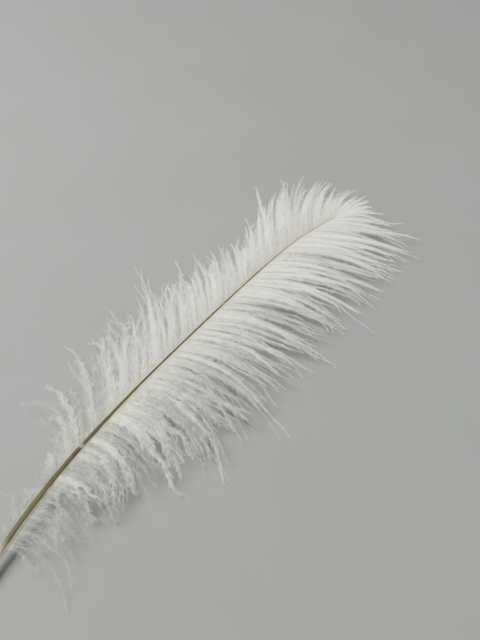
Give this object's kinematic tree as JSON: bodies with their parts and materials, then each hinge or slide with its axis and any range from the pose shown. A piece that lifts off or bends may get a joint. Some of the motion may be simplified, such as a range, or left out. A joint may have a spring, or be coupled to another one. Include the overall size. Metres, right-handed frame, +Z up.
{
  "type": "ostrich feather",
  "caption": "White ostrich plume lying flat: a curved tapering horn shaft with a loose vane of soft barbs on each side and downy barbs near the bare quill.",
  "frame": {"origin": "middle of the feather's footprint on the surface it lies on", "axes": "+X along the feather from the quill's end to the tip tuft, +Y to the left of the shaft seen from above, +Z up"},
  "size_m": [0.4728, 0.1896, 0.024],
  "materials": {
    "horn": "satin",
    "barbs": "matte",
    "down": "matte"
  },
  "bodies": {
    "root": {"shaft": "horn", "vane_left": "barbs", "vane_right": "barbs", "down_left": "down", "down_right": "down"}
  },
  "joints": []
}
